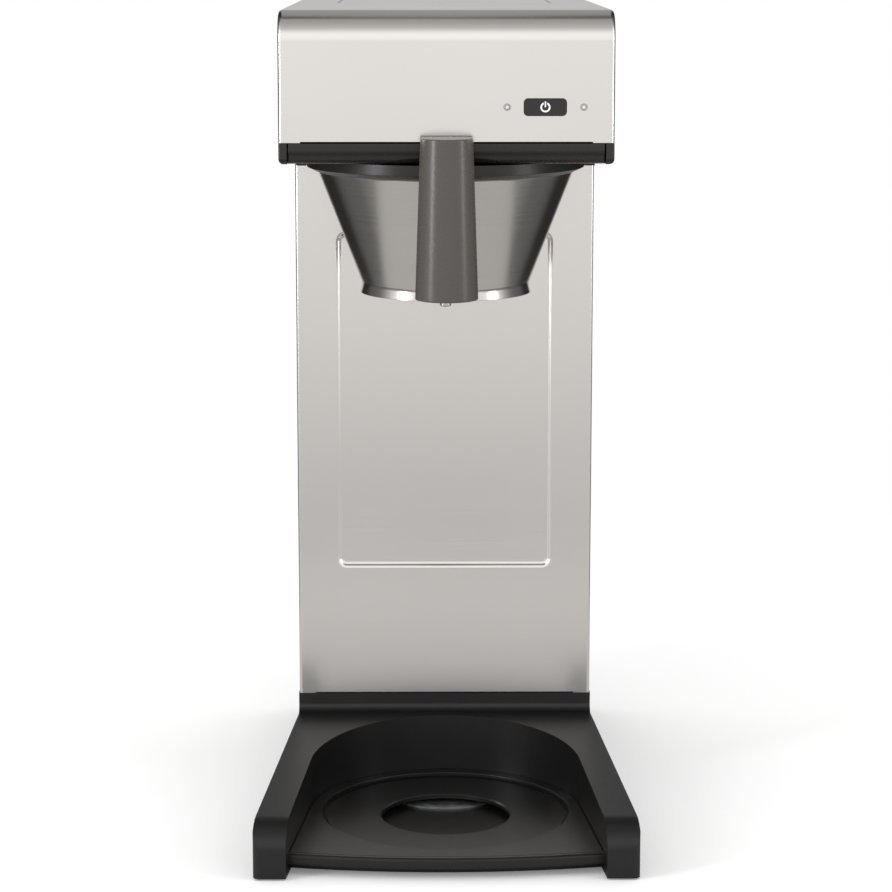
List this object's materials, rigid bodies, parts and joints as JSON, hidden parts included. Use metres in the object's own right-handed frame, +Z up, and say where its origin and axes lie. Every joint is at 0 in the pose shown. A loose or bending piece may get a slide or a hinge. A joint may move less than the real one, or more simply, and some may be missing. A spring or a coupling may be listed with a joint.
{
  "type": "coffee maker",
  "caption": "Filter coffee maker: brushed steel head and column on a black base with a flask recess, steel pull-out filter basket with a dark grip, power button and lights.",
  "frame": {"origin": "on the floor, at the middle of the footprint, handle included", "axes": "+Z up, -Y towards the user, +X to the user's right"},
  "size_m": [0.239, 0.405, 0.531],
  "materials": {
    "black_plastic": "fine grain",
    "band_plastic": "semi gloss",
    "handle_plastic": "semi gloss",
    "button_plastic": "satin",
    "print_white": "matt",
    "steel": "brushed",
    "zinc_steel": "galvanised",
    "screw_steel": "plain",
    "aluminium": "cast",
    "silicone": "matt",
    "rubber": "matt",
    "clear_plastic": "clear",
    "grey_plastic": "satin",
    "white_plastic": "satin",
    "board": "satin",
    "brass": "plain"
  },
  "bodies": {
    "machine": {"base_screws": "screw_steel", "base_shell": "black_plastic", "bottom_cover": "black_plastic", "chassis_plate": "zinc_steel", "check_valve": "white_plastic", "column_shell": "steel", "control_board": "board", "control_bracket": "zinc_steel", "cover_screws": "screw_steel", "deck_plate": "black_plastic", "earth_screw": "brass", "fill_strainer": "white_plastic", "front_band": "band_plastic", "head_cover": "steel", "head_tray": "black_plastic", "heater_block": "aluminium", "heater_bracket": "zinc_steel", "heater_element": "screw_steel", "heater_screws": "screw_steel", "heater_tube": "screw_steel", "hose_clamps": "screw_steel", "inlet_pins": "brass", "lid_hinge_pin": "screw_steel", "light_pipe_left": "clear_plastic", "light_pipe_right": "clear_plastic", "light_ring_left": "grey_plastic", "light_ring_right": "grey_plastic", "mains_inlet": "black_plastic", "rail_left": "black_plastic", "rail_right": "black_plastic", "rear_panel": "steel", "rear_panel_screws": "screw_steel", "riser_hose": "silicone", "rubber_feet": "rubber", "side_trim_left": "band_plastic", "side_trim_right": "band_plastic", "spray_head": "white_plastic", "spray_plate": "steel", "supply_hose": "silicone", "switch_body": "black_plastic", "terminal_block": "white_plastic", "thermal_fuse": "white_plastic", "thermostat": "screw_steel", "transfer_hose": "silicone", "water_tank": "white_plastic"},
    "basket": {"basket_cone": "steel", "basket_handle": "handle_plastic", "basket_rim": "black_plastic", "basket_spout": "screw_steel", "filter_grid": "steel", "handle_screws": "screw_steel", "spout_nut": "screw_steel"},
    "button": {"button_cap": "button_plastic", "power_symbol": "print_white", "switch_plunger": "white_plastic"},
    "lid": {"fill_lid": "steel"}
  },
  "joints": [
    {"name": "basket_slide", "type": "slide", "parent": "machine", "child": "basket", "axis": [0, -1, 0], "range_m": [0, 0.19]},
    {"name": "button_press", "type": "slide", "parent": "machine", "child": "button", "axis": [0, 1, 0], "range_m": [0, 0.0015], "stiffness_N_per_m": 500, "springref_m": -0.002},
    {"name": "lid_hinge", "type": "hinge", "parent": "machine", "child": "lid", "pos_m": [0, 0.146, 0.526], "axis": [-1, 0, 0], "range_deg": [0, 95]}
  ]
}
